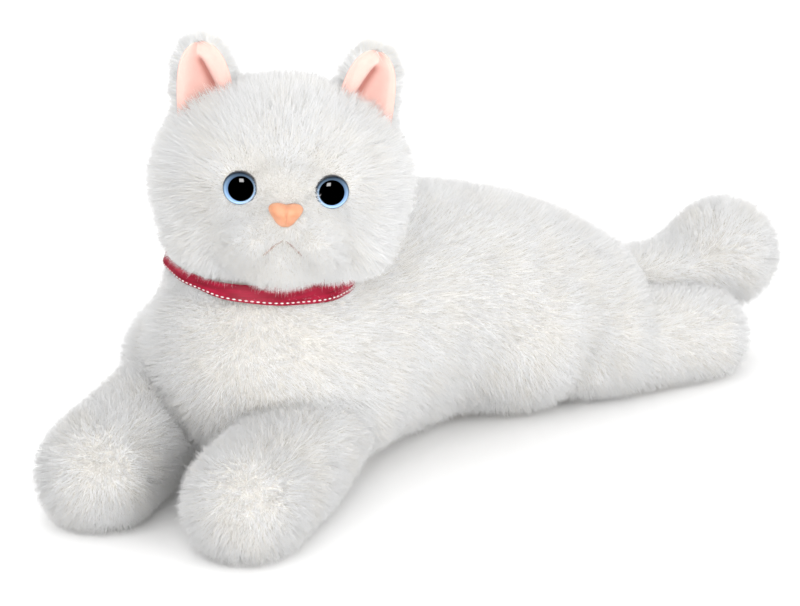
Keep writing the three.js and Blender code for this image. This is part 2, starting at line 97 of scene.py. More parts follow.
# Creases cross the torso's left side in bowed arcs round the spine. along is the Y of the upper end, and sweep
# moves the lower end back from it. bow is how far the arc swings forward. The turns are degrees from the top.
CREASES = {
    "flank": dict(along=-0.024, sweep=0.012, bow=0.003, turns=(97, 133), depth=0.005, width=0.006),
    "haunch": dict(along=0.039, sweep=-0.002, bow=0.003, turns=(40, 67), depth=0.003, width=0.005),
    "tail_root": dict(along=0.059, sweep=0.003, bow=0.013, turns=(29, 80), depth=0.004, width=0.005),
}
CREASE_REACH = 0.004          # the arcs run this far outside the spine's own radius
CREASE_POINTS = 9
BOW_LOW = 1.6                 # above 1, the bow swings furthest on the lower half of the arc
LIMBS = {
    "foreleg_left": [
        (0.013, -0.096, 0.031, 0.026),
        (0.028, -0.130, 0.024, 0.0245),
        (0.039, -0.164, 0.0215, 0.0245),
    ],
    "foreleg_right": [
        (-0.048, -0.115, 0.031, 0.026),
        (-0.042, -0.146, 0.024, 0.0245),
        (-0.030, -0.180, 0.0215, 0.0245),
    ],
    "hindleg_left": [
        (0.035, 0.070, 0.028, 0.0270),
        (0.047, 0.100, 0.0235, 0.0245),
        (0.061, 0.135, 0.0205, 0.0225),
    ],
    "hindleg_right": [
        (-0.014, 0.079, 0.026, 0.022),
        (-0.007, 0.113, 0.020, 0.021),
        (-0.001, 0.148, 0.019, 0.021),
    ],
    "tail": [
        (0.019, 0.096, 0.050, 0.014),
        (0.027, 0.120, 0.0445, 0.0155),
        (0.037, 0.149, 0.0430, 0.0180),
        (0.045, 0.179, 0.0495, 0.0255),
    ],
}

# The head, in its own frame: the face looks along -Y, the cat's left is +X, the eyes' height is EYE_Z.
SKULL = (0.0478, 0.0405, 0.0376)
EYE_X = 0.018
EYE_Y = -0.0395
EYE_Z = 0.005
EYE_RADIUS = 0.0068
EYE_DEPTH = 0.0036
IRIS_MIDDLE_Y = -0.0399       # the middle of the CAD iris disc
NOSE_BACK_Y = -0.0450
NOSE_Z = -0.0035
MOUTH_Z = -0.0140
MOUTH_SPAN = 0.0075
MOUTH_DROP = 0.0066

DOWN = np.array([0.0, 0.0, -1.0])


def unit(vectors):
    vectors = np.asarray(vectors, float)
    return vectors / np.maximum(np.linalg.norm(vectors, axis=-1, keepdims=True), 1e-12)


def ease(values, low, high):
    """0 below low, 1 above high, smooth between."""
    share = np.clip((values - low) / (high - low), 0, 1)
    return share * share * (3 - 2 * share)


def node_middle(node):
    low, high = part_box(node)
    return np.array((low + high) / 2)


def joint(name):
    found = next(j for j in frame["joints"] if j["name"] == name)
    return np.array(found["pos_m"]), unit(found["axis"])


class Placed:
    """A frame of its own: an origin and three axes, as columns."""

    def __init__(self, origin, across, back):
        up = unit(np.cross(across, back))
        self.axes = np.column_stack([across, back, up])
        self.origin = np.asarray(origin, float)

    def out(self, local):
        return np.asarray(local, float) @ self.axes.T + self.origin

    def into(self, world):
        return (np.asarray(world, float) - self.origin) @ self.axes

    def matrix(self, at=(0, 0, 0)):
        turned = Matrix(self.axes.tolist()).to_4x4()
        return Matrix.Translation(Vector(self.out(at))) @ turned


def head_placed():
    """The head's frame, from its eyes: left minus right is across, stem minus iris is back."""
    left, right = node_middle("eye_left_iris"), node_middle("eye_right_iris")
    across = unit(left - right)
    back = unit(node_middle("eye_left_washer") - left)
    up = unit(np.cross(across, back))
    middle = (left + right) / 2
    return Placed(middle - back * IRIS_MIDDLE_Y - up * EYE_Z, across, back)


HEAD = head_placed()
NECK_PIVOT = joint("head_nod")[0]
NECK_TURN = joint("head_turn")[0]


def ear_placed(name):
    pivot, axis = joint(f"{name}_fold")
    return Placed(pivot, axis, HEAD.axes[:, 1])


# ---- camera, floor and light ----

CAMERA_AZIMUTH = math.radians(40)
CAMERA_ELEVATION = math.radians(18)
CAMERA_DISTANCE = 1.0
CAMERA_LENS = 103.5
CAMERA_TARGET = Vector((0.025, -0.051, 0.075))


def make_camera():
    data = bpy.data.cameras.new("camera")
    data.lens = CAMERA_LENS
    data.clip_start = 0.01
    camera = bpy.data.objects.new("camera", data)
    bpy.context.scene.collection.objects.link(camera)
    away = Vector((
        math.sin(CAMERA_AZIMUTH) * math.cos(CAMERA_ELEVATION),
        -math.cos(CAMERA_AZIMUTH) * math.cos(CAMERA_ELEVATION),
        math.sin(CAMERA_ELEVATION),
    ))
    camera.location = CAMERA_TARGET + away * CAMERA_DISTANCE
    camera.rotation_euler = away.to_track_quat("Z", "Y").to_euler()
    bpy.context.scene.camera = camera


def make_lamp(name, place, size, energy, glossy=True):
    data = bpy.data.lights.new(name, "AREA")
    data.size = size
    data.energy = energy
    lamp = bpy.data.objects.new(name, data)
    lamp.visible_glossy = glossy
    bpy.context.scene.collection.objects.link(lamp)
    lamp.location = place
    towards = Vector(place) - Vector((0, -0.03, 0.06))
    lamp.rotation_euler = towards.to_track_quat("Z", "Y").to_euler()


def make_studio():
    scene = bpy.context.scene
    scene.view_settings.view_transform = "Standard"
    scene.cycles.diffuse_bounces = 10
    scene.cycles.max_bounces = 12
    world = bpy.data.worlds.new("studio")
    scene.world = world
    world.use_nodes = True
    background = world.node_tree.nodes["Background"]
    background.inputs["Color"].default_value = (1.0, 1.0, 1.0, 1)
    background.inputs["Strength"].default_value = 1.0
    world.cycles_visibility.glossy = False
    make_lamp("key", (0.35, -1.5, 1.5), 1.2, 7, glossy=False)
    make_lamp("fill", (1.7, -0.1, 0.5), 1.4, 13, glossy=False)
    make_lamp("front", (0.80, -1.25, 0.30), 0.9, 3, glossy=False)
    make_lamp("back", (-0.9, 1.3, 1.3), 1.4, 14, glossy=False)
    make_lamp("eye_light", (0.70, -0.87, 0.64), 0.34, 3.4)
    mesh = bpy.data.meshes.new("floor")
    corners = [(x * FLOOR_SIDE, y * FLOOR_SIDE, 0) for x, y in ((-1, -1), (1, -1), (1, 1), (-1, 1))]
    mesh.from_pydata(corners, [], [(0, 1, 2, 3)])
    floor = bpy.data.objects.new("floor", mesh)
    floor.visible_glossy = False
    scene.collection.objects.link(floor)
    paint = bpy.data.materials.new("floor")
    paint.use_nodes = True
    shader = paint.node_tree.nodes["Principled BSDF"]
    shader.inputs["Base Color"].default_value = (0.93, 0.93, 0.93, 1)
    shader.inputs["Roughness"].default_value = 0.9
    shader.inputs["Specular IOR Level"].default_value = 0.1
    mesh.materials.append(paint)


# ---- materials ----

def material(name, colour, roughness=0.6, specular=0.3, **constants):
    made = bpy.data.materials.new(name)
    made.use_nodes = True
    shader = made.node_tree.nodes["Principled BSDF"]
    shader.inputs["Base Color"].default_value = (*colour, 1)
    shader.inputs["Roughness"].default_value = roughness
    shader.inputs["Specular IOR Level"].default_value = specular
    for socket, value in constants.items():
        shader.inputs[socket.replace("_", " ")].default_value = value
    return made


def add_node(made, kind, **settings):
    node = made.node_tree.nodes.new(kind)
    for key, value in settings.items():
        if key in node.inputs:
            node.inputs[key].default_value = value
        else:
            setattr(node, key, value)
    return node


def link(made, from_socket, to_socket):
    made.node_tree.links.new(from_socket, to_socket)


def mottle(made, light, dark, scale, socket="Base Color", stretch=(1, 1, 1), detail=4.0, low=0.35, high=0.7):
    """Colours the surface between two tones with noise; returns the noise's output."""
    place = add_node(made, "ShaderNodeTexCoord")
    mapping = add_node(made, "ShaderNodeMapping")
    mapping.inputs["Scale"].default_value = stretch
    noise = add_node(made, "ShaderNodeTexNoise", Scale=scale, Detail=detail)
    ramp = add_node(made, "ShaderNodeValToRGB")
    ramp.color_ramp.elements[0].position = low
    ramp.color_ramp.elements[1].position = high
    ramp.color_ramp.elements[0].color = (*dark, 1)
    ramp.color_ramp.elements[1].color = (*light, 1)
    link(made, place.outputs["Object"], mapping.inputs["Vector"])
    link(made, mapping.outputs["Vector"], noise.inputs["Vector"])
    link(made, noise.outputs["Fac"], ramp.inputs["Fac"])
    link(made, ramp.outputs["Color"], made.node_tree.nodes["Principled BSDF"].inputs[socket])
    return noise.outputs["Fac"]


def add_bump(made, height, strength, distance):
    bump = add_node(made, "ShaderNodeBump", Strength=strength, Distance=distance)
    link(made, height, bump.inputs["Height"])
    link(made, bump.outputs["Normal"], made.node_tree.nodes["Principled BSDF"].inputs["Normal"])


def hair_material(name, colour):
    return material(name, colour, roughness=0.6, specular=0.15, Sheen_Weight=0.7, Sheen_Roughness=0.5)


def make_hair_materials():
    tones = {
        "hair_white": (0.985, 0.983, 0.976),
        "hair_bright": (0.992, 0.992, 0.990),
        "hair_cool": (0.975, 0.980, 0.984),
        "hair_cream": (0.980, 0.958, 0.915),
    }
    return [hair_material(name, colour) for name, colour in tones.items()]


def shaded_backing_material():
    # Painted shade on a pale knit: the backing is greyed so that it passes for the shade deep between the
    # hairs; the noise between two tones is random variation.
    made = material("plush_backing_painted_shade", (0.70, 0.68, 0.64), roughness=0.95, specular=0.1, Sheen_Weight=0.3)
    height = mottle(made, (0.73, 0.71, 0.67), (0.64, 0.61, 0.56), 900)
    add_bump(made, height, 0.5, 0.0006)
    return made


HAIR = make_hair_materials()
SHADED_BACKING = shaded_backing_material()


# ---- soft forms: strings of balls and ellipsoids, melted together ----

def smooth_line(stations, step):
    """Catmull-Rom points with radii through the stations, about step apart."""
    knots = np.array(stations, float)
    padded = np.vstack([2 * knots[0] - knots[1], knots, 2 * knots[-1] - knots[-2]])
    points = []
    for i in range(len(knots) - 1):
        a, b, c, d = padded[i:i + 4]
        count = max(2, int(np.linalg.norm(c[:3] - b[:3]) / step))
        for t in np.arange(count) / count:
            points.append(0.5 * (2 * b + (c - a) * t + (2 * a - 5 * b + 4 * c - d) * t ** 2
                                 + (3 * b - a - 3 * c + d) * t ** 3))
    points.append(knots[-1])
    return np.array(points)


class Form:
    """A closed soft shape, as the distance to its surface. Creases pull the surface in."""

    def __init__(self, melt=0.004):
        self.melt = melt
        self.strings = []
        self.balls = []
        self.creases = []

    def string(self, stations, shrink=PRESSED):
        line = smooth_line(stations, 0.003)
        line[:, 3] -= shrink
        self.strings.append(line)
        return self

    def ball(self, middle, radii, axes=None, shrink=0.0):
        axes = np.eye(3) if axes is None else axes
        self.balls.append((np.array(middle, float), np.array(radii, float) - shrink, axes))
        return self

    def crease(self, points, depth, width):
        line = smooth_line([(*p, 0) for p in points], 0.0015)[:, :3]
        self.creases.append((line, depth, width))
        return self

    def distance(self, points):
        parts = []
        for line in self.strings:
            gap = np.linalg.norm(points[:, None] - line[None, :, :3], axis=2) - line[None, :, 3]
            parts.append(gap.min(axis=1))
        for middle, radii, axes in self.balls:
            local = (points - middle) @ axes
            near = np.linalg.norm(local / radii, axis=1)
            steep = np.linalg.norm(local / radii ** 2, axis=1)
            parts.append(near * (near - 1) / np.maximum(steep, 1e-6))
        parts = np.array(parts)
        least = parts.min(axis=0)
        melted = least - self.melt * np.log(np.exp(-(parts - least) / self.melt).sum(axis=0))
        for line, depth, width in self.creases:
            gap = np.sqrt(((points[:, None] - line[None]) ** 2).sum(axis=2).min(axis=1))
            melted = melted + depth * np.exp(-(gap / width) ** 2)
        return melted

    def slope(self, points, step=0.0004):
        here = self.distance(points)
        ahead = [self.distance(points + step * np.eye(3)[i]) for i in range(3)]
        return here, unit(np.stack([a - here for a in ahead], axis=1))


def coordinates(mesh):
    flat = np.empty(len(mesh.vertices) * 3, np.float32)
    mesh.vertices.foreach_get("co", flat)
    return flat.reshape(-1, 3).astype(float)


def set_coordinates(mesh, points):
    mesh.vertices.foreach_set("co", np.asarray(points, np.float32).ravel())
    mesh.update()


def link_object(name, mesh):
    made = bpy.data.objects.new(name, mesh)
    bpy.context.scene.collection.objects.link(made)
    return made


def apply_modifiers(obj):
    """Replaces the mesh with its evaluated one and takes the modifiers off."""
    bpy.context.view_layer.update()
    seen = obj.evaluated_get(bpy.context.evaluated_depsgraph_get())
    mesh = bpy.data.meshes.new_from_object(seen)
    obj.modifiers.clear()
    old, obj.data = obj.data, mesh
    bpy.data.meshes.remove(old)
    return obj


def thicken(obj):
    """Gives a single sheet of faces the thickness of a thin cloth."""
    solid = obj.modifiers.new("thickness", "SOLIDIFY")
    solid.thickness = 0.0004
    solid.offset = 0
    apply_modifiers(obj)


def edit_mesh(mesh, change):
    """Runs one change on the mesh as a bmesh, then turns all its faces outwards."""
    bm = bmesh.new()
    bm.from_mesh(mesh)
    change(bm)
    bmesh.ops.recalc_face_normals(bm, faces=bm.faces)
    bm.to_mesh(mesh)
    bm.free()


def rough_union(name, form):
    """The form's balls as one closed voxel mesh, a little crude, to be drawn onto the form after."""
    bm = bmesh.new()
    for line in form.strings:
        for x, y, z, radius in line[::2]:
            bmesh.ops.create_icosphere(
                bm, subdivisions=2, radius=radius, matrix=Matrix.Translation((x, y, z)))
    for middle, radii, axes in form.balls:
        turned = Matrix(axes.tolist()).to_4x4()
        shape = Matrix.Translation(Vector(middle)) @ turned @ Matrix.Diagonal((*radii, 1))
        bmesh.ops.create_icosphere(bm, subdivisions=3, radius=1, matrix=shape)
    mesh = bpy.data.meshes.new(name)
    bm.to_mesh(mesh)
    bm.free()
    obj = link_object(name, mesh)
    remesh = obj.modifiers.new("voxels", "REMESH")
    remesh.mode = "VOXEL"
    remesh.voxel_size = VOXEL
    return apply_modifiers(obj)


def draw_onto(obj, form):
    """Moves the points onto the form's surface, and flattens the underside where it lies."""
    points = coordinates(obj.data)
    for _ in range(4):
        gap, slope = form.slope(points)
        points -= slope * np.clip(gap, -0.004, 0.004)[:, None] * 0.9
    points[:, 2] = np.maximum(points[:, 2], FLOOR_CLEARANCE)
    set_coordinates(obj.data, points)


def swell(obj, pinned):
    """Blows the skin up between its pinned seams with a short cloth simulation, and limits how far."""
    scene = bpy.context.scene
    before = coordinates(obj.data)
    seams = obj.vertex_groups.new(name="seams")
    seams.add([int(i) for i in np.flatnonzero(pinned)], 1.0, "REPLACE")
    cloth = obj.modifiers.new("swell", "CLOTH")
    cloth.settings.use_pressure = True
    cloth.settings.uniform_pressure_force = 4
    cloth.settings.effector_weights.gravity = 0
    cloth.settings.vertex_group_mass = seams.name
    cloth.settings.quality = 4
    cloth.collision_settings.use_collision = False
    cloth.point_cache.frame_start = 1
    cloth.point_cache.frame_end = SWELL_FRAMES
    for step in range(1, SWELL_FRAMES + 1):
        scene.frame_set(step)
    seen = obj.evaluated_get(bpy.context.evaluated_depsgraph_get())
    after = coordinates(seen.data)
    obj.modifiers.clear()
    obj.vertex_groups.clear()
    scene.frame_set(1)
    moved = after - before
    far = np.maximum(np.linalg.norm(moved, axis=1, keepdims=True), 1e-9)
    moved *= np.minimum(1, SWELL / far)
    points = before + moved
    points[:, 2] = np.maximum(points[:, 2], FLOOR_CLEARANCE)
    set_coordinates(obj.data, points)


def finish_skin(obj):
    smooth = obj.modifiers.new("even", "SMOOTH")
    smooth.factor = 0.5
    smooth.iterations = 3
    finer = obj.modifiers.new("finer", "SUBSURF")
    finer.levels = 1
    finer.render_levels = 1
    apply_modifiers(obj)
    obj.data.materials.clear()
    # The backing carries painted shade for the depths of the pile.
    obj.data.materials.append(SHADED_BACKING)
    obj.data.shade_smooth()
    return obj


def stuffed_skin(name, form, seams):
    """A swollen skin on a form. seams says, for the points, which lie on a pinned seam."""
    skin = rough_union(name, form)
    draw_onto(skin, form)
    swell(skin, seams(coordinates(skin.data)))
    return finish_skin(skin)


# ---- the forms of this cat ----

def crease_line(along, sweep, bow, turns):
    """Points of one crease, from its upper end to its lower end."""
    spine = smooth_line(SPINE, 0.003)
    share = np.linspace(0, 1, CREASE_POINTS)
    y = along + sweep * share - bow * np.sin(math.pi * share ** BOW_LOW)
    turn = np.radians(turns[0] + (turns[1] - turns[0]) * share)
    x, z, radius = (np.interp(y, spine[:, 1], spine[:, column]) for column in (0, 2, 3))
    out = radius + CREASE_REACH
    return np.stack([x + out * np.sin(turn), y, z + out * np.cos(turn)], axis=1)


def torso_form():
    form = Form(melt=0.005).string(SPINE).string(NECK_ROOT)
    form.ball(*BELLY, shrink=PRESSED)
    for x, y, z, radius in SHOULDERS + HAUNCHES:
        form.ball((x, y, z), (radius,) * 3, shrink=PRESSED)
    for crease in CREASES.values():
        line = crease_line(crease["along"], crease["sweep"], crease["bow"], crease["turns"])
        form.crease(line, crease["depth"], crease["width"])
    return form


def limb_form(name):
    return Form().string(LIMBS[name])


def head_form():
    """Skull, nape, bridge, the two muzzle puffs, chin and eye seats."""
    form = Form(melt=0.003)
    axes = HEAD.axes
    form.ball(HEAD.out((0, 0, 0)), SKULL, axes)
    form.ball(NECK_PIVOT, (0.0325,) * 3)
    form.ball(HEAD.out((0, -0.0275, 0.003)), (0.0105, 0.0140, 0.0125), axes)
    form.ball(HEAD.out((0, -0.0330, -0.0075)), (0.0100, 0.0115, 0.0090), axes)
    form.ball(HEAD.out((0, -0.0300, -0.0275)), (0.0120, 0.0120, 0.0085), axes)
    for side in (-1, 1):
        form.ball(HEAD.out((side * 0.0115, -0.0345, -0.0170)), (0.0135, 0.0115, 0.0105), axes)
        form.ball(HEAD.out((side * EYE_X, -0.0290, EYE_Z)), (0.0100, 0.0085, 0.0100), axes)
        form.ball(HEAD.out((side * 0.0230, -0.0110, -0.0200)), (0.0190, 0.0195, 0.0164), axes)
        puff = [
            (0.011, -0.046, -0.004),
            (0.021, -0.041, -0.010),
            (0.0265, -0.035, -0.021),
            (0.022, -0.031, -0.033),
        ]
        form.crease([HEAD.out((side * x, y, z)) for x, y, z in puff], 0.0048, 0.0045)
        brow = [(0.008, -0.044, 0.000), (0.0085, -0.043, 0.008), (0.006, -0.041, 0.015)]
        form.crease([HEAD.out((side * x, y, z)) for x, y, z in brow], 0.0018, 0.0030)
    lip = [(-0.016, -0.040, -0.0300), (-0.009, -0.043, -0.0225), (0, -0.044, -0.0155)]
    lip += [(-x, y, z) for x, y, z in lip[-2::-1]]
    form.crease([HEAD.out(point) for point in lip], 0.0030, 0.0027)
    return form


def mouth_lines():
    """The mouth's two arms, in the head's frame, from the middle outwards."""
    arms = []
    for side in (-1, 1):
        share = np.linspace(0, 1, 9)
        x = side * (0.0004 + MOUTH_SPAN * share)
        z = MOUTH_Z - MOUTH_DROP * (0.75 * share + 0.25 * share ** 2)
        y = -0.0455 + 0.0030 * share ** 1.5
        arms.append(np.column_stack([x, y, z]))
    return arms


TORSO_FORM = torso_form()
HEAD_FORM = head_form()
LIMB_FORMS = {name: limb_form(name) for name in LIMBS}


def near_height(height, width=0.003):
    return lambda points: np.abs(points[:, 2] - height) < width


def head_seams(points):
    """The gusset's two seams over the crown, the cheeks' and the muzzle's."""
    local = HEAD.into(points)
    gusset = np.abs(np.abs(local[:, 0]) - 0.010) < 0.0025
    cheeks = np.abs(local[:, 2] + 0.022) < 0.0025
    face = np.linalg.norm(local - (0, -0.040, -0.006), axis=1) < 0.024
    return gusset & (local[:, 2] > 0) | cheeks | face


# ---- pile ----

def waves(points, length, seed):
    """Smooth noise between about -1 and 1, as a sum of sine waves in seeded directions."""
    dice = np.random.default_rng(seed)
    total = np.zeros(len(points))
    for _ in range(6):
        way = unit(dice.normal(size=3)) * 2 * math.pi / (length * dice.uniform(0.7, 1.5))
        total += np.sin(points @ way + dice.uniform(0, 2 * math.pi))
    return total / 3


def scatter(skin, count, dice):
    """Roots spread evenly over a skin, with its smooth normals there."""
    mesh = skin.data
    mesh.calc_loop_triangles()
    points = coordinates(mesh)
    corners = np.empty(len(mesh.loop_triangles) * 3, np.int32)
    mesh.loop_triangles.foreach_get("vertices", corners)
    corners = corners.reshape(-1, 3)
    normals = np.empty(len(points) * 3, np.float32)
    mesh.vertex_normals.foreach_get("vector", normals)
    normals = normals.reshape(-1, 3).astype(float)
    a, b, c = (points[corners[:, i]] for i in range(3))
    area = np.linalg.norm(np.cross(b - a, c - a), axis=1)
    ladder = np.cumsum(area) / area.sum()
    chosen = np.searchsorted(ladder, (np.arange(count) + dice.random(count)) / count)
    chosen = np.minimum(chosen, len(corners) - 1)
    p, q = dice.random(count), dice.random(count)
    over = p + q > 1
    p[over], q[over] = 1 - p[over], 1 - q[over]
    weights = np.stack([1 - p - q, p, q], axis=1)[:, :, None]
    roots = (points[corners[chosen]] * weights).sum(axis=1)
    return roots, unit((normals[corners[chosen]] * weights).sum(axis=1))


CLUMP = 0.0022                # the size of a tuft
CLUMP_PULL = 0.18             # how far hairs lean to the middle of their tuft
HAIR_RADIUS = 0.00012
TIP_FLOOR = 0.0006


def clump(roots, tips, pull, dice):
    """Leans the tips towards the mean tip of their tuft."""
    warped = roots + 0.0012 * np.stack([waves(roots, 0.011, s) for s in (1, 2, 3)], axis=1)
    cells = np.floor(warped / CLUMP).astype(np.int64)
    key = (cells[:, 0] * 73856093) ^ (cells[:, 1] * 19349663) ^ (cells[:, 2] * 83492791)
    _, group = np.unique(key, return_inverse=True)
    size = np.bincount(group)
    middle = np.stack([np.bincount(group, tips[:, i]) / size for i in range(3)], axis=1)
    strength = pull * (0.6 + 0.8 * dice.random(len(size)))[group]
    return tips + (middle[group] - tips) * strength[:, None], group, len(size)


def hair_mesh(name, roots, tips, normals, radius, cream_and_shade, dice):
    """Three-sided hairs from their roots to their tips, each shaded with its skin's normal."""
    count = len(roots)
    along = unit(tips - roots)
    side = unit(np.cross(along, normals + 1e-6))
    other = np.cross(side, along)
    spin = dice.random(count) * 2 * math.pi
    points = np.empty((count, 4, 3))
    for k in range(3):
        turn = spin + k * 2 * math.pi / 3
        ring = side * np.cos(turn)[:, None] + other * np.sin(turn)[:, None]
        points[:, k] = roots + ring * radius[:, None] - normals * 0.0008
    points[:, 3] = tips
    points[:, :, 2] = np.maximum(points[:, :, 2], 0.0003)
    start = np.arange(count)[:, None] * 4
    corners = (start + np.array([[1, 0, 3, 2, 1, 3, 0, 2, 3]])).reshape(-1)
    mesh = bpy.data.meshes.new(name)
    mesh.vertices.add(count * 4)
    mesh.vertices.foreach_set("co", points.astype(np.float32).ravel())
    mesh.loops.add(len(corners))
    mesh.loops.foreach_set("vertex_index", corners.astype(np.int32))
    mesh.polygons.add(count * 3)
    mesh.polygons.foreach_set("loop_start", np.arange(0, len(corners), 3, dtype=np.int32))
    # The bias below tips hairs towards the cream tone; on the head it carries painted shade at the brows as
    # well as real cream.
    tone = 0.9 * waves(roots, 0.020, 11) + 0.8 * dice.normal(size=count) - cream_and_shade
    index = np.digitize(tone, [-0.75, 0.55, 1.25])
    order = np.array([3, 0, 2, 1])[index]
    mesh.polygons.foreach_set("material_index", np.repeat(order, 3).astype(np.int32))
    mesh.update(calc_edges=True)
    mesh.shade_smooth()
    jitter = dice.normal(size=(count, 3)) * 0.16
    base = unit(normals + jitter)
    tip = unit(normals * 0.75 + along * 0.45 + jitter)
    shade = np.stack([base, base, base, tip], axis=1).reshape(-1, 3)
    mesh.normals_split_custom_set_from_vertices(shade.astype(np.float32))
    for paint in HAIR:
        mesh.materials.append(paint)
    return mesh


def pile(name, skin, count, comb, length, seed, lift=72.0, keep=None, pull=CLUMP_PULL, radius=HAIR_RADIUS,
         shading=None, cream_and_shade=None):
    """A piece of pile on a skin. comb and length take roots and normals; keep says which roots stay."""
    dice = np.random.default_rng(seed)
    roots, normals = scatter(skin, count, dice)
    stays = normals[:, 2] > -0.93
    if keep is not None:
        stays &= keep(roots, normals)
    roots, normals = roots[stays], normals[stays]
    flow = comb(roots, normals)
    swirl = np.stack([waves(roots, 0.030, seed + s) for s in (21, 22, 23)], axis=1)
    flow = flow + 0.40 * swirl + 0.60 * dice.normal(size=roots.shape)
    flow = unit(flow - normals * (flow * normals).sum(axis=1, keepdims=True))
    angle = np.radians(lift + 7 * waves(roots, 0.018, seed + 31) + 9 * dice.normal(size=len(roots)))
    angle = np.clip(angle, 0.25, 1.52)[:, None]
    reach = length(roots, normals) * (0.86 + 0.28 * dice.random(len(roots)))
    reach *= np.where(dice.random(len(roots)) < 0.07, 1.28, 1.0)
    tips = roots + (flow * np.cos(angle) + normals * np.sin(angle)) * reach[:, None]
    tips, group, groups = clump(roots, tips, pull, dice)
    tuft_way = (dice.normal(size=(groups, 3)) * 0.16)[group]
    tips = tips + tuft_way * reach[:, None]
    tips = roots + unit(tips - roots) * reach[:, None]
    below = tips[:, 2] < TIP_FLOOR
    tips[below, 2] = TIP_FLOOR * (0.6 + 0.8 * dice.random(below.sum()))
    thick = radius * (0.8 + 0.4 * dice.random(len(roots)))
    lit = normals if shading is None else shading(roots, normals)
    cream_and_shade_bias = np.zeros(len(roots)) if cream_and_shade is None else cream_and_shade(roots)
    piece = link_object(name, hair_mesh(name, roots, tips, lit, thick, cream_and_shade_bias, dice))
    return piece


def along_line(stations, down):
    """A comb that follows a line of stations to its end, and falls a little."""
    line = smooth_line(stations, 0.004)[:, :3]
    ways = unit(np.gradient(line, axis=0))

    def comb(roots, normals):
        nearest = np.linalg.norm(roots[:, None] - line[None], axis=2).argmin(axis=1)
        return ways[nearest] + DOWN * down

    return comb


def even(value):
    return lambda roots, normals: np.full(len(roots), value)


def outside(*forms, deep=0.002):
    """Roots that lie inside another skin are left out."""
    def keep(roots, normals):
        stays = np.ones(len(roots), bool)
        for form in forms:
            stays &= form.distance(roots) > -deep
        return stays
    return keep


# ---- torso ----

def build_torso():
    skin = stuffed_skin("torso_skin", TORSO_FORM, near_height(0.016))
    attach(skin, "torso")
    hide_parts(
        "torso_left_panel", "torso_right_panel", "belly_panel", "torso_stuffing", "belly_pellet_bag")
    clear = outside(HEAD_FORM, *LIMB_FORMS.values())
    comb = along_line(SPINE, 0.80)
    sections = {
        "torso_fur_front": (-1.0, -0.050, 58000),
        "torso_fur_middle": (-0.050, 0.020, 58000),
        "torso_fur_rear": (0.020, 1.0, 58000),
    }
    total = sum(count for _, _, count in sections.values())
    for number, (name, (low, high, count)) in enumerate(sections.items()):
        def keep(roots, normals, low=low, high=high):
            return (roots[:, 1] >= low) & (roots[:, 1] < high) & clear(roots, normals)
        piece = pile(name, skin, total, comb, even(TORSO_PILE), 100 + number, keep=keep)
        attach(piece, "torso")


# ---- limbs and tail ----

HAIRS = {
    "foreleg_left": 54000,
    "foreleg_right": 54000,
    "hindleg_left": 36000,
    "hindleg_right": 26000,
    "tail": 38000,
}


def build_limb(name):
    stations = LIMBS[name]
    form = LIMB_FORMS[name]
    seam = stations[-1][2] * 0.6 if name != "tail" else stations[-1][2]
    skin = stuffed_skin(f"{name}_skin", form, near_height(seam))
    others = [f for key, f in LIMB_FORMS.items() if key != name]
    length = TAIL_PILE if name == "tail" else LIMB_PILE
    comb = along_line(stations, 0.3 if name == "tail" else 0.9)
    seed = 200 + len(name) + sum(map(ord, name)) % 50
    piece = pile(
        f"{name}_fur", skin, HAIRS[name], comb, even(length), seed,
        keep=outside(TORSO_FORM, *others, deep=0.004))
    for soft in (skin, piece):
        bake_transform(soft)
    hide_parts(f"{name}_upper_panel", f"{name}_sole_panel", f"{name}_stuffing")


# ---- head ----

def head_comb(roots, normals):
    """Outwards from the nose, falling at the cheeks."""
    local = HEAD.into(roots)
    out = local - np.array([0, -0.046, -0.002])
    falls = 0.012 * ease(-local[:, 2], -0.010, 0.030)
    out[:, 2] -= falls
    return out @ HEAD.axes.T / 0.03


def head_length(roots, normals):
    """Short on the bridge, muzzle and round the eyes, long on the crown and cheeks."""
    local = HEAD.into(roots)
    face = np.linalg.norm((local - (0, -0.044, -0.006)) / (1.15, 1.3, 1.0), axis=1)
    length = 0.0030 + 0.0042 * ease(face, 0.012, 0.036)
    length += 0.0016 * ease(np.abs(local[:, 0]), 0.026, 0.042)
    for side in (-1, 1):
        to_eye = np.hypot(local[:, 0] - side * EYE_X, local[:, 2] - EYE_Z)
        near = (1 - ease(to_eye, 0.006, 0.014)) * (local[:, 1] < 0)
        length = length * (1 - near) + 0.0034 * near
    bridge = (1 - ease(np.abs(local[:, 0]), 0.006, 0.009)) * (1 - ease(local[:, 2], 0.009, 0.014))
    bridge = bridge * (local[:, 1] < -0.02) * ease(local[:, 2], -0.008, -0.003)
    length = length * (1 - bridge) + 0.0027 * bridge
    return length * (1 - 0.25 * ease(-local[:, 2], 0.024, 0.034))


def head_cream_and_brow_shade(roots):
    """Painted shade at the inner brows, laid on as creamier hair; creamier also on the sheared bridge and down
    the muzzle.
    """
    local = HEAD.into(roots)
    # brow is painted shade over the inner brows; bridge and muzzle are the creamier sheared face
    brow = np.exp(-((np.abs(local[:, 0]) - 0.011) / 0.007) ** 2 - ((local[:, 2] - 0.012) / 0.008) ** 2)
    bridge = np.exp(-(local[:, 0] / 0.007) ** 2 - ((local[:, 2] - 0.003) / 0.008) ** 2)
    muzzle = np.exp(-(local[:, 0] / 0.020) ** 2 - ((local[:, 2] + 0.020) / 0.014) ** 2)
    return (1.3 * brow + 1.2 * bridge + 0.9 * muzzle) * (local[:, 1] < -0.015)


